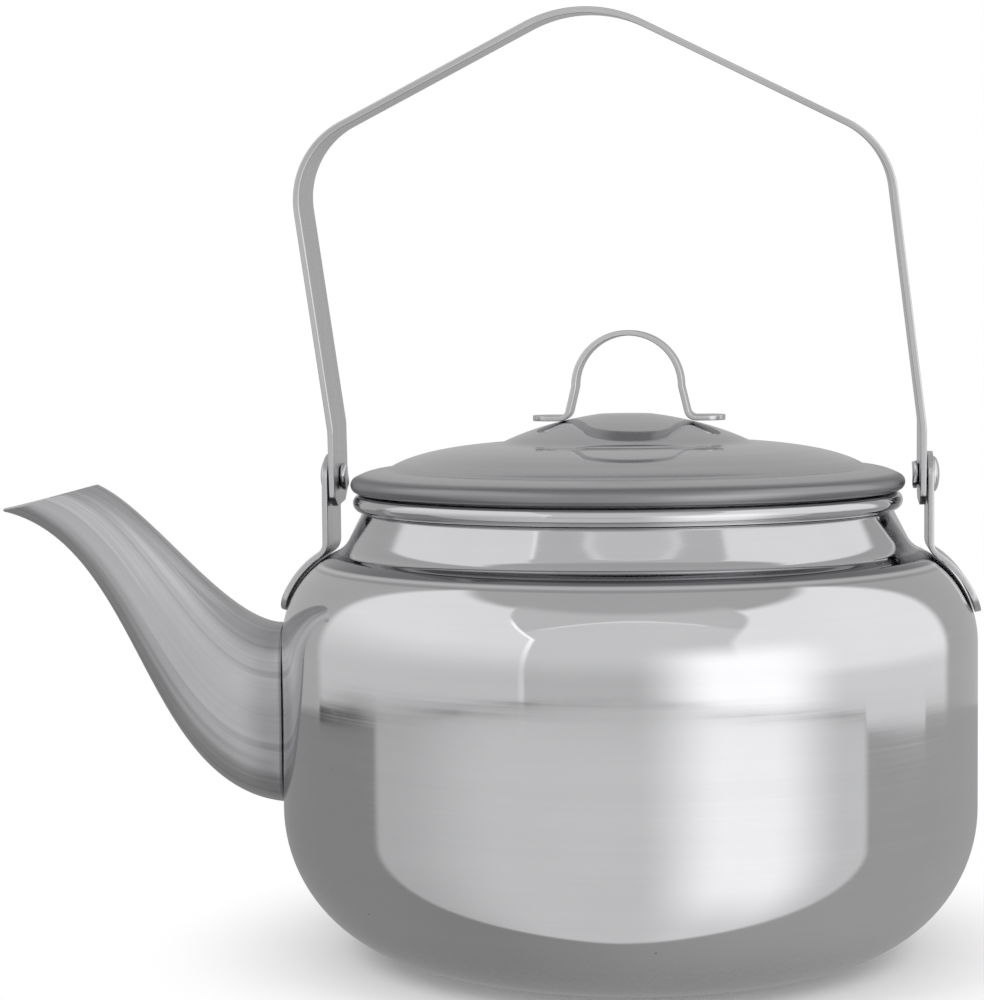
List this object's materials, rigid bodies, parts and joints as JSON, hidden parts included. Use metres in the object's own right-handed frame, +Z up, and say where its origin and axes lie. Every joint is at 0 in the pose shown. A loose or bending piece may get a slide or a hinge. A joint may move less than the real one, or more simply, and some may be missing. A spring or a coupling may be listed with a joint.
{
  "type": "coffee kettle",
  "caption": "Squat steel camp coffee kettle with a goose-neck spout, a lift-off lid with a strap handle, and a flat strap bail that swings on rivets.",
  "frame": {"origin": "centre of the flat base, on the surface that the kettle stands on", "axes": "+Z up along the axis of the body; the spout points along -X; the bail swings about a line along X; +Y is the side away from the picture's camera"},
  "size_m": [0.236, 0.165, 0.2231],
  "materials": {
    "polished_steel": "soft polish with fine turned lines",
    "satin_steel": "satin, lightly brushed along the form",
    "lid_steel": "satin with fine circular brushing",
    "strap_steel": "satin strap with bright edges",
    "rivet_steel": "bright, smooth"
  },
  "bodies": {
    "kettle": {"body_shell": "polished_steel", "spout": "satin_steel", "spout_strainer": "satin_steel", "ear_spout_side": "strap_steel", "ear_back": "strap_steel", "rivet_spout_side": "rivet_steel", "rivet_back": "rivet_steel"},
    "bail": {"bail": "strap_steel"},
    "lid": {"lid_shell": "lid_steel", "lid_skirt": "satin_steel", "lid_handle": "strap_steel"}
  },
  "joints": [
    {"name": "bail_swing", "type": "hinge", "parent": "kettle", "child": "bail", "pos_m": [0, 0, 0.113], "axis": [1, 0, 0], "range_deg": [-111, 101]},
    {"name": "lid_lift", "type": "slide", "parent": "kettle", "child": "lid", "axis": [0, 0, 1], "range_m": [0, 0.028]}
  ]
}
